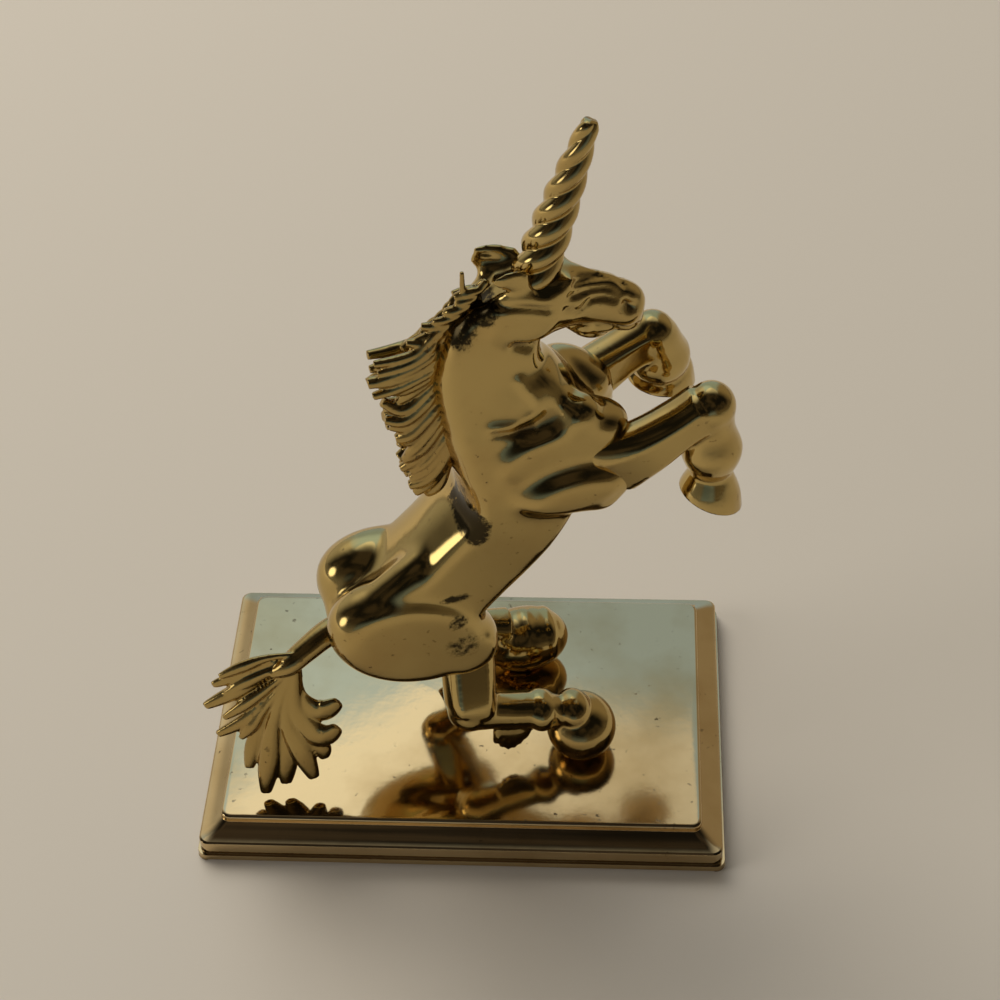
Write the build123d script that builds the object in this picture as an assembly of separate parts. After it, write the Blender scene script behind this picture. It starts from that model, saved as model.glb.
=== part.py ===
from build123d import *
import math
import os

# Rearing unicorn of soldered castings on a stepped plate, in millimetres and degrees.
# The origin is the centre of the plate's underside, +Z is up and +X runs along the plate.

# Plate
BASE_LENGTH = 70.0
BASE_WIDTH = 46.0
BASE_HEIGHT = 5.4
EDGE_MARGIN = 3.4
FLANGE_HEIGHT = 0.9
FLANGE_STEP = 0.35
COVE_HEIGHT = 1.0
TIER_LEDGE = 0.5
RISER_HEIGHT = 0.9
RISER_RADIUS = 0.25

# Felt pad and the fastening of the hooves
FELT_THICKNESS = 1.0
FELT_BORDER = 5.0
FELT_CLEARANCE = 0.15
SCREW_RADIUS = 1.0
SCREW_HEAD_RADIUS = 1.9
SCREW_HEAD_HEIGHT = 1.1
SCREW_SLOT_WIDTH = 0.5
SCREW_SLOT_DEPTH = 0.5
SCREW_ENGAGEMENT = 3.4
SCREW_CLEARANCE = 0.05
WASHER_RADIUS = 2.3
WASHER_THICKNESS = 0.4
POCKET_CLEARANCE = 0.2
POCKET_HEADROOM = 0.3

# Place and turn of the figure on the plate
FIGURE_X = 13.0
FIGURE_Y = 0.0
FIGURE_YAW = 15.0

# Figure: reach along its own forward axis, width across, height from hooves to poll
BODY_REACH = 40.0
BODY_WIDTH = 20.0
BODY_HEIGHT = 80.0
BODY_DEPTH = 20.0
FORELEG_THICKNESS = 6.4
HIND_LEG_THICKNESS = 8.0
HOOF_LENGTH = 10.4
HOOF_WIDTH = 9.6
HOOF_HEIGHT = 8.6
HEAD_DEPTH = 9.6
HEAD_WIDTH = 7.2
EAR_LENGTH = 7.2
EAR_WIDTH = 3.4
EAR_THICKNESS = 2.0
EAR_TILT = 160.0
HORN_LENGTH = 19.5
HORN_BASE_RADIUS = 2.8
HORN_TIP_RADIUS = 0.9
HORN_LEAN = 18.5
HORN_SINK = 1.6
HORN_PEG_RADIUS = 1.1
HORN_PEG_LENGTH = 2.6
MANE_THICKNESS = 4.6
TAIL_THICKNESS = 4.6

# Soldered spigots and the room round them
SPIGOT_RADIUS = 1.3
SPIGOT_LENGTH = 3.2
SPIGOT_CLEARANCE = 0.1
CUT_OVERRUN = 1.0
UPRIGHT = (Align.CENTER, Align.CENTER, Align.MIN)

# Middle of the cove between its foot and the riser, across and down
COVE_SHARES = (0.30, 0.62)
# Stations along an egg from end to end
EGG_SHARES = [-0.98, -0.82, -0.45, 0.0, 0.45, 0.82, 0.98]
# Torso and neck: forward, up, half depth, half width, as shares of reach, height, depth, width
TORSO_SHARES = [
    (-0.760, 0.310, 0.130, 0.140),
    (-0.660, 0.318, 0.260, 0.280),
    (-0.520, 0.343, 0.330, 0.360),
    (-0.290, 0.438, 0.345, 0.340),
    (-0.150, 0.535, 0.430, 0.370),
    (-0.110, 0.635, 0.480, 0.365),
    (-0.150, 0.725, 0.400, 0.290),
    (-0.200, 0.800, 0.315, 0.205),
    (-0.190, 0.865, 0.270, 0.165),
    (-0.140, 0.905, 0.220, 0.140),
]
# Breast, one egg in the middle: back and front end as forward and up, then depth and width
BREAST_SHARE = (-0.193, 0.695, 0.133, 0.695, 0.750, 0.600)
# Muscles on both sides: haunch, stifle, upper and lower shoulder roll, and point of the shoulder.
# Back and front end as forward and up, then how far across, depth and width
MUSCLE_SHARES = [
    (-0.772, 0.384, -0.268, 0.292, 0.220, 0.780, 0.420),
    (-0.460, 0.288, -0.240, 0.328, 0.240, 0.420, 0.370),
    (-0.265, 0.665, 0.135, 0.680, 0.200, 0.430, 0.360),
    (-0.205, 0.610, 0.165, 0.636, 0.270, 0.350, 0.370),
    (-0.056, 0.733, 0.136, 0.717, 0.240, 0.320, 0.300),
]
# Ridges of the croup: forward, across, up and half thickness as a share of the body's depth
CROUP_SHARES = [
    (-0.710, 0.190, 0.358, 0.130),
    (-0.612, 0.220, 0.383, 0.165),
    (-0.512, 0.220, 0.410, 0.175),
    (-0.430, 0.190, 0.440, 0.155),
    (-0.362, 0.150, 0.465, 0.110),
]
# Forearms: forward, across, up and half thickness, from inside the shoulder to the knee
RIGHT_FOREARM_SHARES = [
    (0.000, -0.300, 0.622, 0.36),
    (0.150, -0.345, 0.624, 0.52),
    (0.270, -0.350, 0.668, 0.45),
    (0.412, -0.345, 0.727, 0.43),
]
LEFT_FOREARM_SHARES = [
    (0.000, 0.280, 0.640, 0.44),
    (0.140, 0.320, 0.690, 0.50),
    (0.240, 0.340, 0.717, 0.44),
    (0.330, 0.350, 0.745, 0.43),
]
# Lower forelegs from the knee through fetlock and pastern to the sole
RIGHT_CANNON_SHARES = [
    (0.425, -0.345, 0.728, 0.46),
    (0.430, -0.345, 0.675, 0.42),
    (0.434, -0.345, 0.627, 0.57),
    (0.433, -0.345, 0.588, 0.44),
    (0.430, -0.345, 0.568, 0.49),
    (0.424, -0.345, 0.536, 0.52),
]
LEFT_CANNON_SHARES = [
    (0.338, 0.350, 0.747, 0.46),
    (0.346, 0.380, 0.712, 0.44),
    (0.364, 0.415, 0.674, 0.57),
    (0.380, 0.445, 0.645, 0.46),
    (0.388, 0.460, 0.630, 0.50),
    (0.402, 0.480, 0.606, 0.53),
]
KNEE_SHARE = 0.47
# Gaskins: forward, across, up and half thickness, from inside the haunch to the hock
RIGHT_GASKIN_SHARES = [
    (-0.340, -0.240, 0.312, 0.38),
    (-0.335, -0.310, 0.232, 0.43),
    (-0.360, -0.350, 0.152, 0.36),
]
LEFT_GASKIN_SHARES = [
    (-0.360, 0.240, 0.312, 0.38),
    (-0.385, 0.340, 0.232, 0.43),
    (-0.420, 0.420, 0.152, 0.36),
]
# Lower hind legs from the hock to the pastern
RIGHT_SHANK_SHARES = [
    (-0.360, -0.350, 0.148, 0.36),
    (-0.240, -0.352, 0.128, 0.31),
    (-0.120, -0.354, 0.112, 0.36),
    (-0.030, -0.355, 0.095, 0.46),
]
LEFT_SHANK_SHARES = [
    (-0.420, 0.420, 0.148, 0.36),
    (-0.300, 0.455, 0.128, 0.33),
    (-0.180, 0.470, 0.112, 0.40),
    (-0.090, 0.475, 0.095, 0.48),
]
HOCK_SHARE = 0.39
RIGHT_HOOF_SHARE = (0.010, -0.355)
LEFT_HOOF_SHARE = (-0.048, 0.475)
HOOF_CENTRE_SHARE = 0.42
# Head: forward, up, half depth and half width, from the poll to the muzzle
HEAD_SHARES = [
    (-0.200, 0.907, 0.36, 0.34),
    (-0.110, 0.910, 0.50, 0.48),
    (-0.010, 0.912, 0.48, 0.48),
    (0.080, 0.903, 0.40, 0.38),
    (0.160, 0.884, 0.35, 0.36),
    (0.215, 0.871, 0.29, 0.33),
    (0.242, 0.864, 0.14, 0.18),
]
EAR_SHARE = (-0.085, 0.110, 0.955)
HORN_SHARE = (-0.062, 0.970)
# Mane outline: forward and up
MANE_SHARES = [
    (-0.120, 0.965), (-0.200, 0.978), (-0.280, 0.948), (-0.345, 0.890), (-0.400, 0.850),
    (-0.560, 0.855), (-0.565, 0.780), (-0.470, 0.755), (-0.500, 0.680), (-0.430, 0.655),
    (-0.470, 0.600), (-0.390, 0.560), (-0.260, 0.580), (-0.200, 0.720), (-0.180, 0.880),
]
# Tail: dock from inside the rump to the fan, then the tips of its locks
DOCK_SHARES = [
    (-0.680, 0.000, 0.308, 0.42),
    (-0.800, -0.020, 0.297, 0.36),
    (-0.900, -0.070, 0.276, 0.44),
    (-0.970, -0.110, 0.240, 0.40),
]
LOCK_TIP_SHARES = [
    (-1.170, -0.150, 0.225),
    (-1.150, -0.200, 0.165),
    (-1.080, -0.200, 0.060),
    (-1.040, -0.210, 0.014),
    (-0.900, -0.250, 0.030),
    (-0.800, -0.270, 0.110),
    (-0.780, -0.270, 0.170),
]
# Thickness of a lock at its root, belly and tip, and how far it first follows the dock
LOCK_SHARES = [0.34, 0.48, 0.44, 0.14]
LOCK_FOLLOW_SHARE = 0.45
# Spigot between neck and head: from inside the neck to the head's underside
NECK_SPIGOT_SHARES = [
    (-0.185, 0.000, 0.840, 0),
    (-0.165, 0.000, 0.880, 0),
]


def place(forward, across, up):
    """Point of the figure from shares of its reach, width and height."""
    return Vector(forward * BODY_REACH, across * BODY_WIDTH, up * BODY_HEIGHT)


def tangents(points):
    """Direction of the line through each point and its neighbours."""
    last = len(points) - 1
    return [(points[min(i + 1, last)] - points[max(i - 1, 0)]).normalized() for i in range(last + 1)]


def loft_along(points, half_depths, half_widths):
    """Solid through an ellipse at each point, square to the line of the points."""
    sections = []
    for point, along, deep, wide in zip(points, tangents(points), half_depths, half_widths):
        across = (Vector(0, 1, 0) - along * along.Y).normalized()
        plane = Plane(origin=point, x_dir=across, z_dir=along)
        sections.append(plane * Ellipse(wide, deep))
    return loft(sections)


def limb(shares, thickness):
    """Round limb through a table of forward, across, up and half thickness shares."""
    points = [place(x, y, z) for x, y, z, _ in shares]
    halves = [t * thickness for *_, t in shares]
    return loft_along(points, halves, halves)


def egg(centre, along, length, depth, width):
    """Egg-shaped solid with its length along a direction of the figure."""
    points = [centre + along.normalized() * (share * length / 2) for share in EGG_SHARES]
    fullness = [math.sqrt(1 - share * share) for share in EGG_SHARES]
    return loft_along(points, [f * depth / 2 for f in fullness], [f * width / 2 for f in fullness])


def muscle(back_x, back_z, front_x, front_z, across, depth, width):
    """Egg-shaped muscle between two ends that lie equally far across."""
    back = place(back_x, across, back_z)
    front = place(front_x, across, front_z)
    return egg((back + front) / 2, front - back, (front - back).length, depth * BODY_DEPTH, width * BODY_WIDTH)


def tilted(angle):
    """Direction in the figure's middle plane, tilted up from its forward axis."""
    return Vector(math.cos(math.radians(angle)), 0, math.sin(math.radians(angle)))


def foreleg(forearm_shares, cannon_shares):
    """Lifted foreleg: forearm, round knee, and the folded lower leg down to the sole."""
    knee_x, knee_y, knee_z, _ = cannon_shares[0]
    knee = Pos(place(knee_x, knee_y, knee_z)) * Sphere(KNEE_SHARE * FORELEG_THICKNESS)
    return limb(forearm_shares, FORELEG_THICKNESS) + limb(cannon_shares, FORELEG_THICKNESS) + knee


def hind_leg(gaskin_shares, shank_shares, hoof_share):
    """Crouched hind leg on a round hoof that is cut flat to stand, and bored for its screw."""
    forward, across = hoof_share
    ground = place(forward, across, 0)
    hoof_centre = ground + Vector(0, 0, HOOF_HEIGHT * HOOF_CENTRE_SHARE)
    hoof_depth = 2 * HOOF_HEIGHT * (1 - HOOF_CENTRE_SHARE)
    hock_x, hock_y, hock_z, _ = shank_shares[0]
    hock = Pos(place(hock_x, hock_y, hock_z)) * Sphere(HOCK_SHARE * HIND_LEG_THICKNESS)
    leg = limb(gaskin_shares, HIND_LEG_THICKNESS) + limb(shank_shares, HIND_LEG_THICKNESS) + hock
    leg += egg(hoof_centre, tilted(0), HOOF_LENGTH, hoof_depth, HOOF_WIDTH)
    below = Pos(ground) * Box(
        2 * BODY_REACH, 2 * BODY_REACH, BODY_HEIGHT, align=(Align.CENTER, Align.CENTER, Align.MAX))
    bore = Pos(ground) * Cylinder(
        SCREW_RADIUS + SCREW_CLEARANCE, SCREW_ENGAGEMENT + SCREW_CLEARANCE, align=UPRIGHT)
    return leg - below - bore


def lock(dock_points, tip_share):
    """One lock of the tail: it leaves along the dock and curls to its tip."""
    root, root_direction = dock_points[-2], tangents(dock_points)[-1]
    tip = place(*tip_share)
    bend = root + root_direction * ((tip - root).length * LOCK_FOLLOW_SHARE)
    curve = Bezier(root, bend, tip)
    count = len(LOCK_SHARES) - 1
    points = [curve @ (i / count) for i in range(count + 1)]
    halves = [share * TAIL_THICKNESS for share in LOCK_SHARES]
    return loft_along(points, halves, halves)


def spigot(shares, room):
    """Round spigot through a limb's second station, with room all round for its socket."""
    (ax, ay, az, _), (bx, by, bz, _) = shares[:2]
    start = place(ax, ay, az)
    seat = place(bx, by, bz)
    plane = Plane(origin=seat, z_dir=seat - start)
    return plane * Cylinder(SPIGOT_RADIUS + room, 2 * (SPIGOT_LENGTH + room))


def edge_profile(length):
    """Cross-section of the plate with its moulded edge, standing on zero."""
    half = length / 2
    tier = half - FLANGE_STEP
    riser = half - EDGE_MARGIN
    riser_foot = BASE_HEIGHT - RISER_HEIGHT
    cove_foot = (tier - TIER_LEDGE, riser_foot - COVE_HEIGHT)
    across_share, down_share = COVE_SHARES
    cove_middle = (riser + (cove_foot[0] - riser) * across_share, riser_foot - COVE_HEIGHT * down_share)
    with BuildSketch() as profile:
        with BuildLine():
            corner = Polyline(
                (0, 0), (half, 0), (half, FLANGE_HEIGHT), (tier, FLANGE_HEIGHT),
                (tier, cove_foot[1]), cove_foot)
            cove = ThreePointArc(corner @ 1, cove_middle, (riser, riser_foot))
            top = Polyline(cove @ 1, (riser, BASE_HEIGHT - RISER_RADIUS))
            rim = RadiusArc(top @ 1, (riser - RISER_RADIUS, BASE_HEIGHT), -RISER_RADIUS)
            Polyline(rim @ 1, (0, BASE_HEIGHT), (0, 0))
        make_face()
        mirror(about=Plane.YZ)
    return profile.sketch


def moulded_block():
    """Plate whose mouldings meet at mitred corners."""
    along_y = extrude(Plane.XZ * edge_profile(BASE_LENGTH), BASE_WIDTH, both=True)
    along_x = extrude(Plane.YZ * edge_profile(BASE_WIDTH), BASE_LENGTH, both=True)
    return along_y & along_x


def slotted_screw(shank_length):
    """Screw standing on its slotted head, from zero up."""
    slot = Box(2 * SCREW_HEAD_RADIUS, SCREW_SLOT_WIDTH, SCREW_SLOT_DEPTH, align=UPRIGHT)
    screw_head = Cylinder(SCREW_HEAD_RADIUS, SCREW_HEAD_HEIGHT, align=UPRIGHT) - slot
    shank = Cylinder(SCREW_RADIUS, shank_length, align=UPRIGHT)
    return screw_head + Pos(0, 0, SCREW_HEAD_HEIGHT) * shank


def trimmed(casting, body_muscles):
    """The casting with every muscle of the body taken out of it."""
    for body_muscle in body_muscles:
        casting -= body_muscle
    return casting


# Torso and neck, with the breast and the muscles of both sides fused on
torso_points = [place(x, 0, z) for x, z, _, _ in TORSO_SHARES]
torso = loft_along(
    torso_points,
    [d * BODY_DEPTH for _, _, d, _ in TORSO_SHARES],
    [w * BODY_WIDTH for _, _, _, w in TORSO_SHARES])
muscles = [torso]
back_x, back_z, front_x, front_z, depth, width = BREAST_SHARE
muscles.append(muscle(back_x, back_z, front_x, front_z, 0, depth, width))
for side in (-1, 1):
    for back_x, back_z, front_x, front_z, across, depth, width in MUSCLE_SHARES:
        muscles.append(muscle(back_x, back_z, front_x, front_z, side * across, depth, width))
    muscles.append(limb([(x, side * y, z, t) for x, y, z, t in CROUP_SHARES], BODY_DEPTH))
body_whole = torso
for body_muscle in muscles[1:]:
    body_whole += body_muscle

# Head, with the ears laid back
head_points = [place(x, 0, z) for x, z, _, _ in HEAD_SHARES]
head_whole = loft_along(
    head_points,
    [d * HEAD_DEPTH for _, _, d, _ in HEAD_SHARES],
    [w * HEAD_WIDTH for _, _, _, w in HEAD_SHARES])
ear_x, ear_y, ear_z = EAR_SHARE
ear_direction = tilted(EAR_TILT)
for side in (-1, 1):
    ear_centre = place(ear_x, side * ear_y, ear_z) + ear_direction * (EAR_LENGTH / 2)
    head_whole += egg(ear_centre, ear_direction, EAR_LENGTH, EAR_WIDTH, EAR_THICKNESS)

# Horn, leaning forward on a peg in the forehead
horn_axis = Pos(place(HORN_SHARE[0], 0, HORN_SHARE[1])) * Rot(0, HORN_LEAN, 0)
horn_cone = horn_axis * Pos(0, 0, -HORN_SINK) * Cone(
    HORN_BASE_RADIUS, HORN_TIP_RADIUS, HORN_LENGTH + HORN_SINK, align=UPRIGHT)
horn_peg = horn_axis * Cylinder(HORN_PEG_RADIUS, 2 * HORN_PEG_LENGTH)
horn_socket = horn_axis * Cylinder(
    HORN_PEG_RADIUS + SPIGOT_CLEARANCE, 2 * (HORN_PEG_LENGTH + SPIGOT_CLEARANCE))

# Legs before they are trimmed to the body
right_foreleg = foreleg(RIGHT_FOREARM_SHARES, RIGHT_CANNON_SHARES)
left_foreleg = foreleg(LEFT_FOREARM_SHARES, LEFT_CANNON_SHARES)
right_hind_leg = hind_leg(RIGHT_GASKIN_SHARES, RIGHT_SHANK_SHARES, RIGHT_HOOF_SHARE)
left_hind_leg = hind_leg(LEFT_GASKIN_SHARES, LEFT_SHANK_SHARES, LEFT_HOOF_SHARE)

# Tail before it is trimmed to the rump
dock_points = [place(x, y, z) for x, y, z, _ in DOCK_SHARES]
tail_whole = limb(DOCK_SHARES, TAIL_THICKNESS)
for tip_share in LOCK_TIP_SHARES:
    tail_whole += lock(dock_points, tip_share)

# Mane, a strip along the crest that is trimmed to the neck and the head
mane_outline = Polyline(*[place(x, 0, z) for x, z in MANE_SHARES], close=True)
mane_strip = extrude(make_face(mane_outline), MANE_THICKNESS / 2, dir=(0, 1, 0), both=True)

# Each limb ends on the body's skin and carries a spigot; the body has the sockets
body = body_whole - head_whole - spigot(NECK_SPIGOT_SHARES, SPIGOT_CLEARANCE)
castings = {
    "head": head_whole - horn_socket + spigot(NECK_SPIGOT_SHARES, 0),
    "horn": horn_cone - head_whole + horn_peg,
    "mane": mane_strip - body_whole - head_whole - horn_cone,
}
for name, limb_table, limb_whole in [
    ("right_foreleg", RIGHT_FOREARM_SHARES, right_foreleg),
    ("left_foreleg", LEFT_FOREARM_SHARES, left_foreleg),
    ("right_hind_leg", RIGHT_GASKIN_SHARES, right_hind_leg),
    ("left_hind_leg", LEFT_GASKIN_SHARES, left_hind_leg),
    ("tail", DOCK_SHARES, tail_whole),
]:
    castings[name] = trimmed(limb_whole, muscles) + spigot(limb_table, 0)
    body -= spigot(limb_table, SPIGOT_CLEARANCE)
castings["body"] = body

# Plate with a recess for the felt, and a pocket and a hole for each screw
felt_length = BASE_LENGTH - 2 * FELT_BORDER
felt_width = BASE_WIDTH - 2 * FELT_BORDER
felt_pad = Box(felt_length, felt_width, FELT_THICKNESS, align=UPRIGHT)
recess = Box(felt_length + 2 * FELT_CLEARANCE, felt_width + 2 * FELT_CLEARANCE, FELT_THICKNESS, align=UPRIGHT)
base_plate = moulded_block() - recess

# Screws, washers and the places for them under the hind hooves
screw_seat = FELT_THICKNESS + POCKET_HEADROOM
washer_seat = screw_seat + SCREW_HEAD_HEIGHT
pocket_height = washer_seat + WASHER_THICKNESS - FELT_THICKNESS
screw = slotted_screw(BASE_HEIGHT - washer_seat + SCREW_ENGAGEMENT)
washer = Cylinder(WASHER_RADIUS, WASHER_THICKNESS, align=UPRIGHT)
washer -= Cylinder(SCREW_RADIUS + SCREW_CLEARANCE, WASHER_THICKNESS, align=UPRIGHT)
pocket = Cylinder(WASHER_RADIUS + POCKET_CLEARANCE, pocket_height, align=UPRIGHT)
screw_hole = Cylinder(SCREW_RADIUS + POCKET_CLEARANCE, BASE_HEIGHT + CUT_OVERRUN, align=UPRIGHT)
figure_place = Pos(FIGURE_X, FIGURE_Y, BASE_HEIGHT) * Rot(0, 0, FIGURE_YAW)
screws = []
washers = []
for forward, across in (RIGHT_HOOF_SHARE, LEFT_HOOF_SHARE):
    hoof = (figure_place * Pos(place(forward, across, 0))).position
    spot = Pos(hoof.X, hoof.Y, 0)
    base_plate -= spot * Pos(0, 0, FELT_THICKNESS) * pocket
    base_plate -= spot * screw_hole
    screws.append(spot * Pos(0, 0, screw_seat) * screw)
    washers.append(spot * Pos(0, 0, washer_seat) * washer)

os.makedirs("parts", exist_ok=True)
for name, casting in castings.items():
    export_step(figure_place * casting, f"parts/{name}.step")
export_step(base_plate, "parts/base_plate.step")
export_step(felt_pad, "parts/felt_pad.step")
export_step(Compound(screws), "parts/base_screws.step")
export_step(Compound(washers), "parts/screw_washers.step")
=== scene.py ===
# %% [markdown]
# # A gilt unicorn rearing on a stepped plate
# The real figurine is a handful of polished castings soldered together and screwed to a small
# moulded plate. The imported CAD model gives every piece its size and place. This lesson dresses it:
# each casting is modelled like clay, from simple lumps that are melted together, smoothed and
# then carved, because a sculpted animal has no flat faces or straight edges to start from.

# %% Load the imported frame
import math

import bmesh
import bpy
import numpy as np
from mathutils import Euler, Matrix, Vector


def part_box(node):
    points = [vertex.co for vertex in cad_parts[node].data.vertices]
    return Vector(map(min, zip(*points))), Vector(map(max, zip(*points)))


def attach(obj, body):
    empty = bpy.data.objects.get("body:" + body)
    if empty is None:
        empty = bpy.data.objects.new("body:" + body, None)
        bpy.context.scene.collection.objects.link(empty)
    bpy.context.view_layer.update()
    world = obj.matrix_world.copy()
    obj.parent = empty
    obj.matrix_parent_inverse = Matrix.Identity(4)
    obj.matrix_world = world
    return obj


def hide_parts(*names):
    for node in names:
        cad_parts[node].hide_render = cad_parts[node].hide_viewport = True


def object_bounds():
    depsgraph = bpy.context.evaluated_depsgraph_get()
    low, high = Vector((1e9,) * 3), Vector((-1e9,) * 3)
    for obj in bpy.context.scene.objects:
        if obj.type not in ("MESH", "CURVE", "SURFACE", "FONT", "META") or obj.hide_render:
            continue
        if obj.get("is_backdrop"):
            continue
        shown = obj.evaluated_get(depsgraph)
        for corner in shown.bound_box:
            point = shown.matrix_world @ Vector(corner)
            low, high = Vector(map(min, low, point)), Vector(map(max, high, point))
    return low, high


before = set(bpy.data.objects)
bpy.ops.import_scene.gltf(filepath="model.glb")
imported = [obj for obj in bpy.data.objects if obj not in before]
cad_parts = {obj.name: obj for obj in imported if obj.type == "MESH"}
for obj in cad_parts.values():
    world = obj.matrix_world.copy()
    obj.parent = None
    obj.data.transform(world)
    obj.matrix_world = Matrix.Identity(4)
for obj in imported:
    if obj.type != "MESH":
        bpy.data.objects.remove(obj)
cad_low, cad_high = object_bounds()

print("CAD box in mm", [round(1000 * v, 1) for v in (*cad_low, *cad_high)])

# %% [markdown]
# ## The figure's own frame
# The animal stands turned on its plate. It is easiest to model it facing straight along +X, in
# millimetres, with its hooves at height zero, and to turn each finished casting into place once.

# %% The matrix that stands the figure on its plate
MM = 0.001
FIGURE_FORWARD = 13.0 * MM
FIGURE_TURN = math.radians(15.0)
plate_low, plate_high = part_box("base_plate")
stand = (
    Matrix.Translation((FIGURE_FORWARD, 0.0, plate_high.z))
    @ Matrix.Rotation(FIGURE_TURN, 4, "Z")
    @ Matrix.Scale(MM, 4)
)
print("figure stands at", [round(v / MM, 1) for v in stand.translation], "mm")

# %% [markdown]
# ## The polished gilt finish
# The plating is a warm, slightly worn gold: bright on the rounded forms, brown in the hollows
# where polish and dirt collect and where shade is painted in too, with a few dark specks. A metal's
# colour comes from what it reflects, so the base colour stays plain and the wear is a soft noise. The
# hollows are found on each mesh and kept in an attribute, which stays with the piece from every side.

# %% Small helpers for node trees


def new_material(name):
    """An empty material with a principled shader, and its tree."""
    material = bpy.data.materials.new(name)
    material.use_nodes = True
    tree = material.node_tree
    return material, tree, tree.nodes["Principled BSDF"]


def object_noise(tree, scale, detail, roughness=0.55):
    """Noise on the piece's own coordinates; scale is in features per metre."""
    place = tree.nodes.new("ShaderNodeTexCoord")
    noise = tree.nodes.new("ShaderNodeTexNoise")
    noise.inputs["Scale"].default_value = scale
    noise.inputs["Detail"].default_value = detail
    noise.inputs["Roughness"].default_value = roughness
    tree.links.new(place.outputs["Object"], noise.inputs["Vector"])
    return noise.outputs["Fac"]


def spread(tree, value, low, high, to_low, to_high, soft=False):
    """Map a value from one range to another and hold it there; soft eases both ends."""
    ranged = tree.nodes.new("ShaderNodeMapRange")
    ranged.interpolation_type = "SMOOTHSTEP" if soft else "LINEAR"
    ranged.inputs["From Min"].default_value = low
    ranged.inputs["From Max"].default_value = high
    ranged.inputs["To Min"].default_value = to_low
    ranged.inputs["To Max"].default_value = to_high
    tree.links.new(value, ranged.inputs["Value"])
    return ranged.outputs["Result"]


print("texture helpers ready")

# %% Mixing colours and numbers in a node tree


def blend_colours(tree, share, first, second):
    """Mix two colours, each a socket or a plain value."""
    mix = tree.nodes.new("ShaderNodeMix")
    mix.data_type = "RGBA"
    tree.links.new(share, mix.inputs["Factor"])
    for socket, colour in ((mix.inputs[6], first), (mix.inputs[7], second)):
        if isinstance(colour, tuple):
            socket.default_value = colour
        else:
            tree.links.new(colour, socket)
    return mix.outputs[2]


def combine(tree, operation, *values):
    """One math operation on sockets and numbers."""
    math_node = tree.nodes.new("ShaderNodeMath")
    math_node.operation = operation
    for socket, value in zip(math_node.inputs, values):
        if isinstance(value, (int, float)):
            socket.default_value = value
        else:
            tree.links.new(value, socket)
    return math_node.outputs[0]


print("mixing helpers ready")

# %% The gilt of the castings and of the plate
GILT = (0.56, 0.41, 0.155, 1.0)
PLATE_GILT = (0.66, 0.50, 0.27, 1.0)
HAIR_GILT = (0.47, 0.335, 0.12, 1.0)
GILT_DEEP = (0.40, 0.25, 0.085, 1.0)
# dark brown of the tarnish specks, also used as painted shade in the hollows
TARNISH_AND_SHADE = (0.075, 0.045, 0.022, 1.0)
# near black, for tarnish stains and for painted shadows alike
STAIN_AND_SHADOW = (0.020, 0.016, 0.010, 1.0)
# grains are in features per metre
WEAR_GRAIN = 60.0
PATCH_GRAIN = 75.0
RIPPLE_GRAIN = 420.0
SPECK_GRAIN = 900.0
STAIN_AND_SHADOW_GRAIN = 1100.0
RIPPLE_DEPTH = 0.10 * MM
RIPPLE_STRENGTH = 0.10


def attribute_value(tree, name):
    """The value of a point attribute of the piece."""
    reader = tree.nodes.new("ShaderNodeAttribute")
    reader.attribute_name = name
    return reader.outputs["Fac"]


def add_stains_and_shadows(tree, colour):
    """Lay ragged dark blotches over a colour where the piece is marked with stains and painted
    shadows.
    """
    stain_and_shadow = attribute_value(tree, "stain_and_shadow")
    ragged = combine(tree, "MULTIPLY_ADD", object_noise(tree, STAIN_AND_SHADOW_GRAIN, 6.0, 0.75), 2.4, -1.2)
    blotch = spread(tree, combine(tree, "ADD", stain_and_shadow, ragged), 0.10, 0.50, 0.0, 0.95)
    inside = spread(tree, stain_and_shadow, 0.0, 0.25, 0.0, 1.0)
    return blend_colours(tree, combine(tree, "MULTIPLY", blotch, inside), colour, STAIN_AND_SHADOW)


def add_ripple(tree, shader):
    """Very shallow waves, as hand polishing leaves."""
    ripple = tree.nodes.new("ShaderNodeBump")
    ripple.inputs["Strength"].default_value = RIPPLE_STRENGTH
    ripple.inputs["Distance"].default_value = RIPPLE_DEPTH
    tree.links.new(object_noise(tree, RIPPLE_GRAIN, 2.0), ripple.inputs["Height"])
    tree.links.new(ripple.outputs["Normal"], shader.inputs["Normal"])


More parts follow.
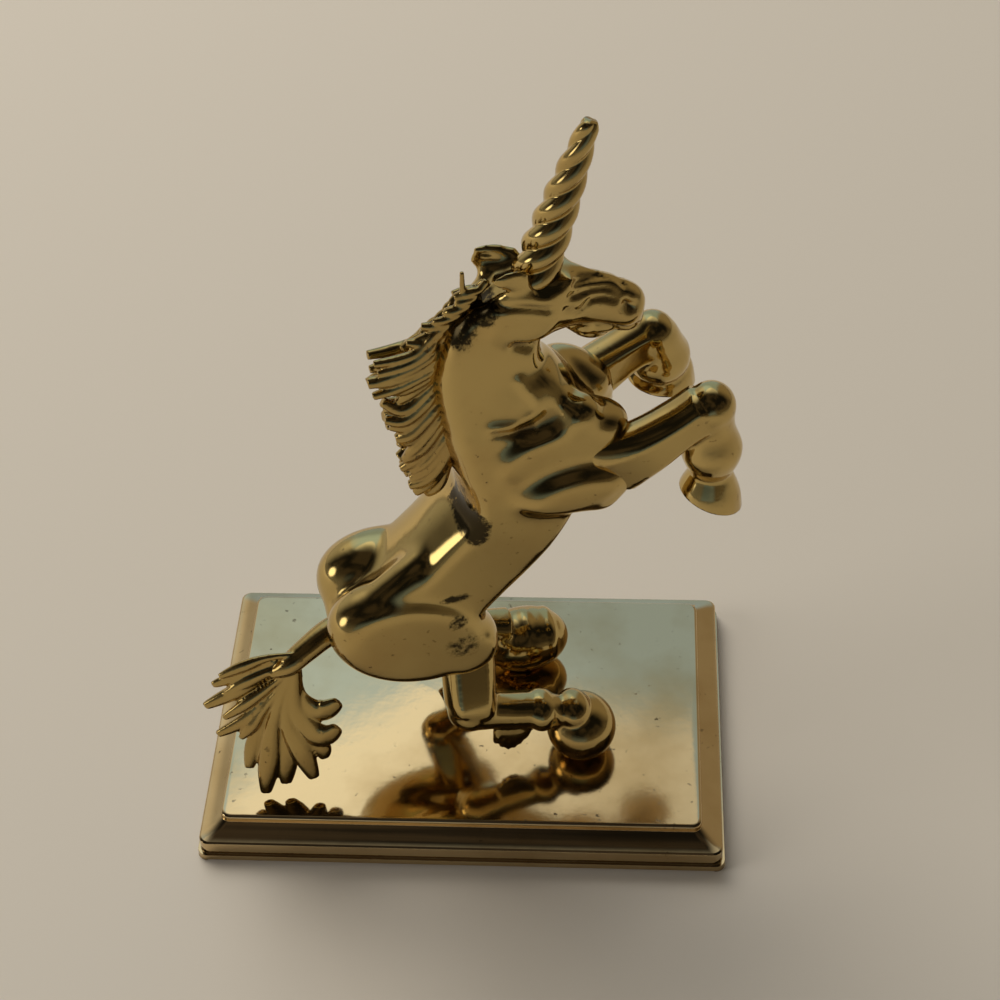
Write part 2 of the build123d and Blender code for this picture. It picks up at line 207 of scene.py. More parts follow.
def gilt_material(name, gilt, polish, speck_start, hollow_tarnish_and_shade):
    """Polished plating: polish is the least roughness, speck_start the noise level of dark specks; the
    last share darkens the hollows with tarnish and painted shade.
    """
    material, tree, shader = new_material(name)
    shader.inputs["Metallic"].default_value = 1.0
    wear = object_noise(tree, WEAR_GRAIN, 4.0)
    colour = blend_colours(tree, spread(tree, wear, 0.45, 0.72, 0.0, 0.55), gilt, GILT_DEEP)
    speckle = object_noise(tree, SPECK_GRAIN, 3.0)
    specks = spread(tree, speckle, speck_start, speck_start + 0.05, 0.0, 0.7)
    patches = spread(tree, object_noise(tree, PATCH_GRAIN, 5.0), 0.60, 0.72, 0.0, 0.6)
    dirt_and_shade = combine(tree, "MULTIPLY", specks, spread(tree, wear, 0.42, 0.60, 0.1, 1.0))
    dirt_and_shade = combine(tree, "MAXIMUM", dirt_and_shade, combine(tree, "MULTIPLY", patches, specks))
    if hollow_tarnish_and_shade:
        # the hollows darken: partly tarnish, partly painted shade where little light reaches
        tarnish_and_shade_in_hollows = spread(tree, attribute_value(tree, "hollow"), 0.15, 0.9, 0.0, hollow_tarnish_and_shade)
        dirt_and_shade = combine(tree, "MAXIMUM", dirt_and_shade, tarnish_and_shade_in_hollows)
        colour = add_stains_and_shadows(tree, colour)
    colour = blend_colours(tree, dirt_and_shade, colour, TARNISH_AND_SHADE)
    tree.links.new(colour, shader.inputs["Base Color"])
    worn = spread(tree, wear, 0.35, 0.75, polish, polish + 0.10)
    dull = spread(tree, dirt_and_shade, 0.0, 1.0, 0.0, 0.25)
    tree.links.new(combine(tree, "ADD", worn, dull), shader.inputs["Roughness"])
    add_ripple(tree, shader)
    return material


# the last number is how far the hollows darken with tarnish and painted shade
casting_gilt = gilt_material("casting_gilt", GILT, 0.09, 0.66, 0.75)
hair_gilt = gilt_material("hair_gilt", HAIR_GILT, 0.14, 0.66, 0.95)
plate_gilt = gilt_material("plate_gilt", PLATE_GILT, 0.05, 0.67, 0.0)
print("gilt materials:", casting_gilt.name, hair_gilt.name, plate_gilt.name)

# %% [markdown]
# ## Felt and steel
# The underside can't be seen in use, but it is finished all the same: green felt glued into the
# plate, and two plain steel screws with washers. The felt is a rough surface with a fine nap, and
# the screws keep their CAD meshes, because machined steel has the simple shapes that CAD gives.

# %% Felt of the underside
FELT_GREEN = (0.018, 0.060, 0.035, 1.0)
FELT_LIGHT = (0.035, 0.095, 0.060, 1.0)
FIBRE_GRAIN = 2200.0
NAP_DEPTH = 0.2 * MM

felt, felt_tree, felt_shader = new_material("felt")
felt_shader.inputs["Roughness"].default_value = 0.95
fibres = object_noise(felt_tree, FIBRE_GRAIN, 4.0)
felt_tree.links.new(
    blend_colours(felt_tree, spread(felt_tree, fibres, 0.3, 0.7, 0.0, 1.0), FELT_GREEN, FELT_LIGHT),
    felt_shader.inputs["Base Color"])
nap = felt_tree.nodes.new("ShaderNodeBump")
nap.inputs["Strength"].default_value = 0.5
nap.inputs["Distance"].default_value = NAP_DEPTH
felt_tree.links.new(fibres, nap.inputs["Height"])
felt_tree.links.new(nap.outputs["Normal"], felt_shader.inputs["Normal"])
print("material:", felt.name)

# %% Steel of the screws and washers
STEEL = (0.52, 0.52, 0.50, 1.0)
BRUSH_GRAIN = 700.0

steel, steel_tree, steel_shader = new_material("steel")
steel_shader.inputs["Metallic"].default_value = 1.0
steel_shader.inputs["Base Color"].default_value = STEEL
steel_tree.links.new(
    spread(steel_tree, object_noise(steel_tree, BRUSH_GRAIN, 3.0), 0.3, 0.7, 0.25, 0.45),
    steel_shader.inputs["Roughness"])
for node_name in ("base_screws", "screw_washers"):
    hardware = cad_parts[node_name]
    hardware.data.materials.clear()
    hardware.data.materials.append(steel)
    print("steel on", node_name)

# %% [markdown]
# ## Clay: lumps, melting and carving
# A casting starts as closed lumps that overlap: tubes of elliptic rings for limbs, eggs for
# muscles. A voxel remesh melts them into one even skin, and smoothing runs the joins together.
# Detail is pressed in afterwards: a groove moves the skin inwards along its own normals, most on
# the line and less beside it. Stations between the given ones follow a Catmull-Rom curve.

# %% Lumps of clay


def flow(stations, steps):
    """The stations with smoothly placed ones between them."""
    rows = np.array(stations, float)
    ends = np.vstack([2 * rows[0] - rows[1], rows, 2 * rows[-1] - rows[-2]])
    smooth = []
    for i in range(len(rows) - 1):
        before, start, stop, after = ends[i:i + 4]
        for t in np.arange(steps) / steps:
            bend = 2 * before - 5 * start + 4 * stop - after
            twist = 3 * start - before - 3 * stop + after
            smooth.append(start + 0.5 * ((stop - before) * t + bend * t ** 2 + twist * t ** 3))
    smooth.append(rows[-1])
    return np.array(smooth)


def ring_place(point, along, deep, wide):
    """Matrix that lays a unit circle square to a direction, with a half depth and a half width."""
    along = Vector(along).normalized()
    across = (Vector((0.0, 1.0, 0.0)) - along * along.y).normalized()
    up = along.cross(across)
    turn = Matrix((-up * deep, across * wide, along)).transposed()
    return Matrix.Translation(point) @ turn.to_4x4()


def ring_edges(ring):
    """The edges that run round a ring of vertices."""
    members = set(ring)
    return {edge for vert in ring for edge in vert.link_edges if members.issuperset(edge.verts)}


def flatten(verts, flat):
    """Press the two sides of a unit shape flat, so that they still reach one unit across."""
    for vert in verts:
        vert.co.y = max(-flat, min(flat, vert.co.y)) / flat


def limb(clay, stations, steps=5, sides=20, flat=1.0):
    """Add a closed tube; a station is x, y, z, half depth and half width."""
    path = flow([row if len(row) == 5 else (*row, row[3]) for row in stations], steps)
    headings = np.gradient(path[:, :3], axis=0)
    rings = []
    for row, heading in zip(path, headings):
        deep, wide = np.maximum(row[3:5], 0.02)
        ring = bmesh.ops.create_circle(clay, radius=1.0, segments=sides)["verts"]
        flatten(ring, flat)
        bmesh.ops.transform(clay, verts=ring, matrix=ring_place(Vector(row[:3]), heading, deep, wide))
        rings.append(ring)
    for first, second in zip(rings, rings[1:]):
        bmesh.ops.bridge_loops(clay, edges=list(ring_edges(first) | ring_edges(second)))
    for end in (rings[0], rings[-1]):
        bmesh.ops.contextual_create(clay, geom=list(ring_edges(end)))


def egg(clay, centre, length, depth, width, tilt=0.0, swing=0.0, flat=1.0):
    """Add an egg with its length tilted up from +X and swung sideways, in degrees."""
    place = (
        Matrix.Translation(centre)
        @ Matrix.Rotation(math.radians(swing), 4, "Z")
        @ Matrix.Rotation(math.radians(-tilt), 4, "Y")
        @ Matrix.Diagonal((length / 2, width / 2, depth / 2, 1.0))
    )
    verts = bmesh.ops.create_uvsphere(clay, u_segments=32, v_segments=20, radius=1.0)["verts"]
    flatten(verts, flat)
    bmesh.ops.transform(clay, verts=verts, matrix=place)


print("lump helpers ready")

# %% Melting, smoothing and carving
MIDLINE = 0.2


def melt(clay, grain, rounds):
    """One even skin round all the lumps, smoothed; the grain is in millimetres."""
    lumps = bpy.data.meshes.new("lumps")
    clay.to_mesh(lumps)
    clay.free()
    holder = bpy.data.objects.new("lumps", lumps)
    bpy.context.scene.collection.objects.link(holder)
    remesh = holder.modifiers.new("melt", "REMESH")
    remesh.mode = "VOXEL"
    remesh.voxel_size = grain
    skin_mesh = bpy.data.meshes.new_from_object(
        holder.evaluated_get(bpy.context.evaluated_depsgraph_get()))
    bpy.data.objects.remove(holder)
    bpy.data.meshes.remove(lumps)
    skin = bmesh.new()
    skin.from_mesh(skin_mesh)
    bpy.data.meshes.remove(skin_mesh)
    relax(skin, rounds)
    return skin


def relax(skin, rounds):
    """Smooth the whole skin."""
    for _ in range(rounds):
        bmesh.ops.smooth_vert(
            skin, verts=skin.verts, factor=0.5, use_axis_x=True, use_axis_y=True, use_axis_z=True)


def carve(skin, strokes, sides=(-1, 1)):
    """Press strokes into the sides of the skin, as seen from the side.

    A stroke is a path of x and z, a half width and a depth; a depth below zero raises a ridge.
    The skin within MIDLINE millimetres of the middle stays as it is."""
    skin.normal_update()
    places = np.array([vert.co for vert in skin.verts])
    sink = np.zeros(len(places))
    for path, width, depth in strokes:
        line = flow(path, 8)
        reach = 2.5 * width
        low, high = line.min(0) - reach, line.max(0) + reach
        flat = places[:, (0, 2)]
        for side in sides:
            inside = np.all((flat > low) & (flat < high), axis=1)
            near = np.flatnonzero(inside & (side * places[:, 1] > MIDLINE))
            if not len(near):
                continue
            gaps = np.linalg.norm(flat[near, None, :] - line[None, :, :], axis=2).min(1)
            sink[near] += depth * np.exp(-(gaps / width) ** 2)
    for vert, move in zip(skin.verts, sink):
        vert.co -= vert.normal * move


def press(skin, point, normal, radius):
    """Press the skin down to a plane within a round soft-edged region about a point of the plane."""
    point = Vector(point)
    normal = Vector(normal).normalized()
    for vert in skin.verts:
        offset = vert.co - point
        height = offset.dot(normal)
        away = (offset - height * normal).length
        if 0.0 < height < radius and away < radius:
            vert.co -= normal * height * min(1.0, 4.0 * (1.0 - away / radius))


print("carving helpers ready")

# %% From skin to finished piece


def mark_hollows(mesh, rounds, full):
    """Write how deep each point lies below the smoothed skin, from 0 to 1 at the full depth."""
    count = len(mesh.vertices)
    places = np.zeros(3 * count)
    mesh.vertices.foreach_get("co", places)
    places = places.reshape(-1, 3)
    normals = np.zeros(3 * count)
    mesh.vertices.foreach_get("normal", normals)
    edges = np.zeros(2 * len(mesh.edges), int)
    mesh.edges.foreach_get("vertices", edges)
    first, second = edges.reshape(-1, 2).T
    degree = np.bincount(edges, minlength=count)[:, None]
    smooth = places.copy()
    for _ in range(rounds):
        total = np.zeros_like(smooth)
        np.add.at(total, first, smooth[second])
        np.add.at(total, second, smooth[first])
        smooth = total / degree
    depth = np.einsum("ij,ij->i", smooth - places, normals.reshape(-1, 3))
    layer = mesh.attributes.new("hollow", "FLOAT", "POINT")
    layer.data.foreach_set("value", np.clip(depth / full, 0.0, 1.0).astype(np.float32))


def finish_piece(name, skin, node, material, place=None, hollow_rounds=0, hollow_depth=0.25):
    """Turn a skin into a piece that rides the root and stands for its CAD node."""
    if place is not None:
        bmesh.ops.transform(skin, matrix=place, verts=skin.verts)
    mesh = bpy.data.meshes.new(name)
    skin.to_mesh(mesh)
    skin.free()
    mesh.shade_smooth()
    if hollow_rounds:
        mark_hollows(mesh, hollow_rounds, hollow_depth * MM)
    mesh.materials.append(material)
    piece = bpy.data.objects.new(name, mesh)
    bpy.context.scene.collection.objects.link(piece)
    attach(piece, "root")
    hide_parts(node)
    triangles = sum(len(polygon.vertices) - 2 for polygon in mesh.polygons)
    low = np.min([vert.co for vert in mesh.vertices], axis=0) / MM
    high = np.max([vert.co for vert in mesh.vertices], axis=0) / MM
    print(name, triangles, "triangles, box in mm", low.round(1), high.round(1))
    return piece


print("piece helpers ready")

# %% [markdown]
# ## Torso, neck and head
# The body and the head are two castings, but polish has run the neck and the cheek together. So
# both are melted as one lump of clay, carved, and only then cut in two behind the cheek. Each
# half keeps the skin's own normals along the cut, so no seam shows in the reflections.

# %% Lumps of the torso and the neck
TORSO_FLAT = 0.68
# x, z, half depth, half width
TORSO = [
    (-30.4, 24.8, 2.6, 2.8), (-26.4, 25.4, 5.2, 5.6), (-20.8, 27.4, 6.6, 7.2),
    (-12.6, 35.7, 6.9, 6.8), (-6.8, 43.1, 7.0, 7.3), (-5.0, 51.0, 8.9, 7.1),
    (-6.6, 58.0, 8.6, 5.8), (-8.6, 64.0, 7.0, 4.3), (-8.0, 69.2, 5.9, 3.6),
    (-6.0, 72.6, 4.7, 2.9),
]
# on both sides: x, out, z, length, depth, width, tilt and flatness
MUSCLES = {
    "haunch": (-20.8, 4.4, 26.6, 21.5, 15.6, 7.6, -20.0, 0.6),
    "stifle": (-14.2, 4.8, 23.3, 9.6, 8.6, 6.8, 20.0, 0.6),
    "upper arm": (-1.5, 4.0, 54.7, 18.4, 8.2, 6.8, 13.0, 0.65),
    "elbow": (0.0, 5.6, 49.2, 16.5, 7.6, 7.4, 8.0, 0.85),
    "front of the shoulder": (2.2, 4.0, 53.8, 6.4, 8.0, 6.2, 0.0, 1.0),
}
# x, out, z, half thickness
ELBOW_EDGE = [
    (-6.4, 6.8, 48.9, 1.2), (-2.3, 7.5, 47.6, 1.3), (2.6, 7.6, 46.6, 1.2),
    (4.2, 7.5, 46.7, 1.1), (6.4, 7.2, 49.0, 1.1), (8.2, 6.9, 50.8, 1.0),
]
# the two ridges of the croup: the animal leans a little to its left, so that one lies lower
CROUP_RIDGES = [
    [(-28.4, -3.8, 29.0, 2.4), (-25.2, -4.3, 31.0, 3.0), (-21.8, -4.2, 33.4, 3.2),
     (-19.0, -3.7, 35.8, 2.8), (-16.8, -2.8, 38.0, 1.8)],
    [(-28.4, 4.2, 27.2, 2.3), (-25.2, 4.6, 29.4, 2.7), (-21.8, 4.2, 31.0, 2.9),
     (-18.6, 3.2, 33.4, 2.6), (-15.6, 2.2, 36.4, 2.0)],
]
# x, y, z, length, depth, width and tilt
BREAST = {
    "right shoulder ball": (0.9, -4.7, 58.6, 6.4, 5.8, 5.8, 0.0),
    "left shoulder": (2.4, 4.4, 56.0, 13.0, 8.4, 7.4, -45.0),
    "chest": (-1.4, 0.0, 54.0, 12.0, 13.0, 10.5, 0.0),
}

clay = bmesh.new()
limb(clay, [(x, 0.0, z, deep, wide) for x, z, deep, wide in TORSO], steps=6, sides=40, flat=TORSO_FLAT)
for side in (-1, 1):
    for x, out, z, length, depth, width, tilt, flat in MUSCLES.values():
        egg(clay, (x, side * out, z), length, depth, width, tilt, flat=flat)
    limb(clay, [(x, side * out, z, half) for x, out, z, half in ELBOW_EDGE])
for ridge in CROUP_RIDGES:
    limb(clay, ridge)
for x, y, z, length, depth, width, tilt in BREAST.values():
    egg(clay, (x, y, z), length, depth, width, tilt)
print("torso lumps:", len(clay.verts), "vertices")

# %% Lumps of the head
# x, z, half depth, half width
HEAD = [
    (-8.0, 72.6, 3.5, 2.4), (-4.4, 72.8, 4.8, 3.5), (-0.4, 73.0, 4.6, 3.5), (3.2, 72.2, 3.8, 2.7),
    (6.4, 70.7, 3.4, 2.6), (8.6, 69.7, 2.8, 2.4), (9.7, 69.1, 1.3, 1.3),
]
# by side, right then left: x, out, z, half depth, half width
EARS = {
    -1: [(-3.4, 2.2, 77.9, 0.9, 0.9), (-5.4, 3.0, 78.7, 1.5, 0.9),
         (-7.2, 3.4, 78.9, 1.3, 0.8), (-9.0, 3.2, 79.0, 0.5, 0.4)],
    1: [(-3.2, 2.2, 76.4, 1.6, 0.9), (-5.2, 2.9, 76.8, 2.3, 0.9),
        (-7.6, 3.3, 77.5, 2.1, 0.8), (-9.6, 3.4, 78.2, 1.4, 0.5)],
}
# x, out, z, half thickness
CHEEK_RIM = [
    (-4.4, 2.8, 76.8, 0.5), (-1.6, 3.2, 75.9, 0.5), (0.7, 2.8, 76.6, 0.5), (1.0, 2.2, 77.6, 0.4),
]
# on both sides: x, out, z, length, depth, width, tilt and flatness
FACE = {
    "cheek": (-5.0, 2.2, 72.8, 10.4, 8.6, 3.6, 12.0, 0.7),
    "nostril": (7.6, 1.5, 71.8, 3.4, 2.8, 2.6, -30.0, 1.0),
}
# in the middle: x, z, length, depth, width and tilt
MUZZLE = {
    "bridge of the nose": (6.2, 73.2, 3.6, 2.2, 2.6, -15.0),
    "upper lip": (8.2, 68.4, 4.0, 4.2, 3.8, -20.0),
    "lower jaw": (3.8, 67.6, 6.0, 2.8, 3.4, -12.0),
}
limb(clay, [(x, 0.0, z, deep, wide) for x, z, deep, wide in HEAD], steps=6, sides=28)
for side in (-1, 1):
    for x, out, z, length, depth, width, tilt, flat in FACE.values():
        egg(clay, (x, side * out, z), length, depth, width, tilt, flat=flat)
    limb(clay, [(x, side * out, z, half) for x, out, z, half in CHEEK_RIM], sides=14)
    limb(clay, [(x, side * out, z, deep, wide) for x, out, z, deep, wide in EARS[side]], sides=14)
for x, z, length, depth, width, tilt in MUZZLE.values():
    egg(clay, (x, 0.0, z), length, depth, width, tilt)
print("with head lumps:", len(clay.verts), "vertices")

# %% Melt the body and press the eyes flat
COARSE_GRAIN = 0.6
FINE_GRAIN = 0.36
EYE_POINT = (-1.7, 2.1, 77.2)
EYE_FACING = (0.0, 0.745, 0.667)
EYE_RADIUS = 2.4
body_skin = melt(melt(clay, COARSE_GRAIN, 3), FINE_GRAIN, 3)
for side in (-1, 1):
    press(body_skin, (EYE_POINT[0], side * EYE_POINT[1], EYE_POINT[2]),
          (EYE_FACING[0], side * EYE_FACING[1], EYE_FACING[2]), EYE_RADIUS)
print("body skin:", len(body_skin.verts), "vertices")

# %% Carve the body
# paths of x and z
MOUTH = [(0.6, 69.0), (2.6, 69.2), (4.3, 69.2), (6.0, 68.3), (7.3, 67.6), (8.8, 67.8)]
LIP = [(1.6, 67.6), (3.4, 67.4), (5.0, 67.0), (6.4, 66.8)]
LIP_GAP = [(1.9, 68.3), (3.3, 68.4)]
NOSE_FOLDS = [
    [(1.3, 76.2), (4.1, 75.6), (6.5, 75.0), (7.6, 73.8)],
    [(0.2, 73.5), (1.7, 72.6), (3.1, 73.6), (4.8, 73.5), (6.4, 72.7)],
    [(0.8, 74.9), (3.0, 74.8), (5.4, 74.2), (6.8, 73.2)],
]
NOSTRIL = [(7.6, 72.0), (8.0, 71.5)]
CHEEK_FOLD = [(-7.5, 75.6), (-4.5, 75.0), (-2.0, 74.2)]
JAW = [(-5.8, 69.6), (-4.0, 69.0), (-1.6, 68.9), (0.5, 69.1)]
NECK_EDGE = [(-5.6, 64.8), (-3.8, 62.0), (-4.2, 60.4), (-6.6, 59.2), (-9.1, 59.0)]
SHOULDER_HOLLOW = [(-5.6, 58.7), (-3.6, 59.1), (-1.8, 60.0)]
SHOULDER_LINE = [(-9.0, 58.4), (-6.6, 58.2), (-4.6, 58.4)]
# each path with its half width and its depth
STROKES = [
    (MOUTH, 0.4, 0.75),
    (LIP, 0.35, 0.4),
    (LIP_GAP, 0.4, 0.6),
    *[(fold, 0.38, 0.40) for fold in NOSE_FOLDS],
    (NOSTRIL, 0.9, 1.3),
    (CHEEK_FOLD, 0.5, 0.45),
    (JAW, 0.6, 0.8),
    (NECK_EDGE, 0.7, -0.35),
    (SHOULDER_HOLLOW, 1.2, 0.5),
    (SHOULDER_LINE, 0.5, 0.35),
]
EAR_CUP_WIDTH = 0.9
EAR_CUP_DEPTH = 0.3
carve(body_skin, STROKES)
for side, ear in EARS.items():
    cup = [(x, z) for x, _, z, _, _ in ear[1:]]
    carve(body_skin, [(cup, EAR_CUP_WIDTH, EAR_CUP_DEPTH)], sides=(side,))
relax(body_skin, 1)
print("carved", len(STROKES), "strokes a side and the ears")

# %% Stains and painted shadows on the right side
# the first blotch, below the end of the mane, is a tarnish stain; the rest, on the upper neck by the
# mane and in the folds over the stifle, are painted shadows and dark reflections
# x, z, half length, half height and strength
STAINS_AND_SHADOWS = [
    (-12.2, 44.8, 2.3, 3.1, 1.0), (-9.8, 75.2, 2.6, 2.6, 0.8), (-12.2, 73.0, 2.4, 3.6, 0.8),
    (-15.0, 29.8, 1.6, 1.2, 0.6), (-14.4, 25.6, 2.8, 2.4, 0.35), (-14.8, 33.2, 2.6, 0.7, 0.7),
]


def stain_or_shadow_at(place):
    """The strength of the strongest stain or painted shadow at a point, from the middle of each to its
    rim.
    """
    return max(
        strength * max(0.0, 1.0 - ((place.x - x) / long) ** 2 - ((place.z - z) / high) ** 2)
        for x, z, long, high, strength in STAINS_AND_SHADOWS)


stain_and_shadow_layer = body_skin.verts.layers.float.new("stain_and_shadow")
for vert in body_skin.verts:
    if vert.co.y < 0.0:
        vert[stain_and_shadow_layer] = stain_or_shadow_at(vert.co)
print("stained points:", sum(vert[stain_and_shadow_layer] > 0.0 for vert in body_skin.verts))

# %% Cut the head from the body
CUT_POINT = Vector((-5.5, 0.0, 71.5))
CUT_NORMAL = Vector((0.83, 0.0, 0.555))
CUT_FLOOR = 66.5


def cut_half(skin, keep_head):
    """A closed copy of the skin in front of the cut, or behind it, with the skin's own normals."""
    half = skin.copy()
    normal_layer = half.verts.layers.float_vector["skin_normal"]
    drop = []
    for face in half.faces:
        middle = face.calc_center_median()
        ahead = (middle - CUT_POINT).dot(CUT_NORMAL) > 0 and middle.z > CUT_FLOOR
        if ahead != keep_head:
            drop.append(face)
    bmesh.ops.delete(half, geom=drop, context="FACES")
    rim = [edge for edge in half.edges if edge.is_boundary]
    bmesh.ops.holes_fill(half, edges=rim, sides=0)
    return half, normal_layer


bmesh.ops.bisect_plane(
    body_skin, geom=body_skin.verts[:] + body_skin.edges[:] + body_skin.faces[:],
    plane_co=CUT_POINT, plane_no=CUT_NORMAL)
body_skin.normal_update()
skin_normal = body_skin.verts.layers.float_vector.new("skin_normal")
for vert in body_skin.verts:
    vert[skin_normal] = vert.normal

for name, node, keep_head in (("head_casting", "head", True), ("body_casting", "body", False)):
    half, normal_layer = cut_half(body_skin, keep_head)
    turned = [(stand.to_3x3() @ vert[normal_layer]).normalized() for vert in half.verts]
    piece = finish_piece(name, half, node, casting_gilt, stand,
                         hollow_rounds=12, hollow_depth=0.35)
    piece.data.normals_split_custom_set_from_vertices(turned)
    piece.data.attributes.remove(piece.data.attributes["skin_normal"])
body_skin.free()

# %% [markdown]
# ## Legs
# Each leg is a casting of its own, soldered into the body. The forelegs are lifted with a bent
# knee, and the hind legs crouch. A leg could be one lofted tube, but knees, fetlocks and hooves
# swell too suddenly for that. So tubes and eggs are melted together at a finer grain than the
# body's, and the soles are then cut flat, as a file would leave them.

# %% Sole cutter


def cut_sole(skin, point, normal):
    """Cut the skin flat below a plane and close it."""
    whole = skin.verts[:] + skin.edges[:] + skin.faces[:]
    bmesh.ops.bisect_plane(skin, geom=whole, plane_co=point, plane_no=normal, clear_outer=True)
    bmesh.ops.holes_fill(skin, edges=[edge for edge in skin.edges if edge.is_boundary], sides=0)


print("sole cutter ready")

# %% Forelegs
# forearm: x, out, z, half depth, half width; lower leg: x, out, z, half thickness
FORELEGS = {
    "right": {
        "side": -1,
        "forearm": [(-1.0, 3.4, 50.6, 3.4, 1.6), (3.4, 5.2, 50.0, 5.3, 2.2),
                    (8.2, 6.7, 53.3, 3.8, 2.8), (12.5, 6.9, 56.3, 2.8, 2.8),
                    (15.8, 6.9, 58.5, 2.8, 2.8)],
        "cannon": [(16.7, 6.9, 58.5, 2.9), (16.9, 6.9, 55.4, 2.8), (17.0, 6.9, 52.2, 3.75),
                   (17.1, 6.9, 50.0, 3.4), (17.2, 6.9, 48.2, 2.5)],
        "hoof": [(17.2, 6.9, 48.9, 2.0), (17.1, 6.9, 46.8, 3.1), (17.0, 6.9, 44.6, 3.9),
                 (17.0, 6.9, 41.0, 4.3)],
        "sole": (17.1, 44.0),
        "sole_tilt": 22.0,
    },
    "left": {
        "side": 1,
        "forearm": [(-1.0, 4.2, 51.4, 3.4, 2.0), (4.6, 6.0, 54.2, 3.5, 2.7),
                    (9.4, 6.7, 57.0, 2.8, 2.7), (13.0, 7.0, 58.8, 2.8, 2.8)],
        "cannon": [(13.3, 7.0, 58.8, 3.1), (13.9, 7.2, 57.2, 3.3), (14.3, 7.5, 55.2, 3.9),
                   (14.6, 7.9, 53.8, 3.8), (14.7, 8.1, 52.8, 3.3)],
        "hoof": [(14.6, 8.1, 53.4, 2.6), (14.9, 8.4, 52.2, 3.9), (15.0, 8.7, 50.6, 4.3),
                 (15.2, 9.0, 47.5, 4.5)],
        "sole": (15.2, 50.2),
        "sole_tilt": 8.0,
    },
}
FOREARM_FLAT = 0.8
KNEE = (5.9, 6.1, 6.1)
FORELEG_GRAIN = 0.28

for hand, leg in FORELEGS.items():
    side = leg["side"]
    clay = bmesh.new()
    forearm = [(x, side * out, z, deep, wide) for x, out, z, deep, wide in leg["forearm"]]
    limb(clay, forearm, flat=FOREARM_FLAT)
    for part in ("cannon", "hoof"):
        limb(clay, [(x, side * out, z, half) for x, out, z, half in leg[part]], steps=6)
    knee_x, knee_out, knee_z, _ = leg["cannon"][0]
    egg(clay, (knee_x, side * knee_out, knee_z), *KNEE)
    skin = melt(clay, FORELEG_GRAIN, 4)
    sole_x, sole_z = leg["sole"]
    tilt = math.radians(leg["sole_tilt"])
    cut_sole(skin, (sole_x, 0.0, sole_z), (-math.sin(tilt), 0.0, -math.cos(tilt)))
    finish_piece(f"{hand}_foreleg_casting", skin, f"{hand}_foreleg", casting_gilt,
                 stand, hollow_rounds=10, hollow_depth=0.3)

# %% Hind legs
# limbs: x, out, z, half thickness; knuckles: x, out, z, length, depth, width
HIND_LEGS = {
    "right": {
        "side": -1,
        "gaskin": [(-13.4, 1.0, 24.0, 3.0), (-13.2, 2.0, 19.8, 3.6), (-13.8, 6.2, 13.2, 3.4),
                   (-14.2, 7.2, 11.4, 2.9)],
        "shank": [(-14.2, 7.0, 11.6, 2.8), (-9.6, 7.0, 10.2, 2.4), (-6.0, 7.0, 9.4, 2.4),
                  (-3.4, 7.1, 8.6, 2.3), (-1.6, 7.1, 7.4, 2.0)],
        "knuckles": [(-14.0, 7.0, 11.6, 6.0, 5.8, 5.8), (-4.6, 7.0, 9.0, 4.8, 5.6, 6.2),
                     (-0.2, 7.2, 8.2, 4.8, 5.0, 6.0), (0.9, 7.2, 4.4, 9.4, 9.0, 9.8)],
        "feather": (-8.0, 7.2, 8.8),
    },
    "left": {
        "side": 1,
        "gaskin": [(-14.4, 2.2, 25.4, 2.6), (-15.2, 6.0, 19.0, 3.4), (-16.8, 8.4, 12.2, 2.8)],
        "shank": [(-16.8, 8.4, 11.6, 2.8), (-12.0, 9.1, 9.8, 2.4), (-9.0, 9.3, 8.8, 2.5),
                  (-5.6, 9.4, 7.8, 2.8)],
        "knuckles": [(-16.6, 8.4, 11.6, 6.0, 5.8, 5.8), (-3.2, 9.5, 4.6, 12.6, 9.2, 9.2),
                     (-6.4, 9.3, 6.6, 4.4, 6.0, 6.8), (-3.0, 9.4, 6.1, 4.2, 6.8, 7.6),
                     (0.0, 9.5, 4.8, 4.0, 7.8, 8.2)],
        "feather": (-12.4, 9.8, 8.0),
    },
}
LIMB_FLATS = {"gaskin": 0.75, "shank": 1.0}
HIND_LEG_GRAIN = 0.26
# the feather: a row of short locks behind the pastern, longest in its middle
FEATHER_LOCKS = 6
FEATHER_START = -2.2
FEATHER_SPAN = 4.0
FEATHER_DROP = 3.8
FEATHER_SWELL = 1.7
FEATHER_OUT = 0.7


def feather(clay, side, root):
    """Add the row of locks; root is x, out and z of the middle of the row."""
    root_x, root_out, root_z = root
    for number in range(FEATHER_LOCKS):
        share = number / (FEATHER_LOCKS - 1)
        x = root_x + FEATHER_START + FEATHER_SPAN * share
        drop = FEATHER_DROP + FEATHER_SWELL * math.sin(math.pi * share)
        y = side * (root_out + FEATHER_OUT)
        limb(clay, [
            (x, side * root_out, root_z, 0.8),
            (x - 0.4, y, root_z - 0.55 * drop, 0.7),
            (x - 0.8, y, root_z - drop, 0.45),
        ], steps=4, sides=12)


for hand, leg in HIND_LEGS.items():
    side = leg["side"]
    clay = bmesh.new()
    for part, flat in LIMB_FLATS.items():
        limb(clay, [(x, side * out, z, half) for x, out, z, half in leg[part]], flat=flat)
    for x, out, z, length, depth, width in leg["knuckles"]:
        egg(clay, (x, side * out, z), length, depth, width)
    feather(clay, side, leg["feather"])
    skin = melt(clay, HIND_LEG_GRAIN, 4)
    cut_sole(skin, (0.0, 0.0, 0.0), (0.0, 0.0, -1.0))
    finish_piece(f"{hand}_hind_leg_casting", skin, f"{hand}_hind_leg", casting_gilt,
                 stand, hollow_rounds=10, hollow_depth=0.3)

# %% [markdown]
# ## Horn
# The horn is a rope of three strands twisted to the right, tapering to a blunt tip. It could be
# three swept coils, but one ring with three lobes, extruded step by step while it turns and
# shrinks, gives a closed rope with crisp valleys.

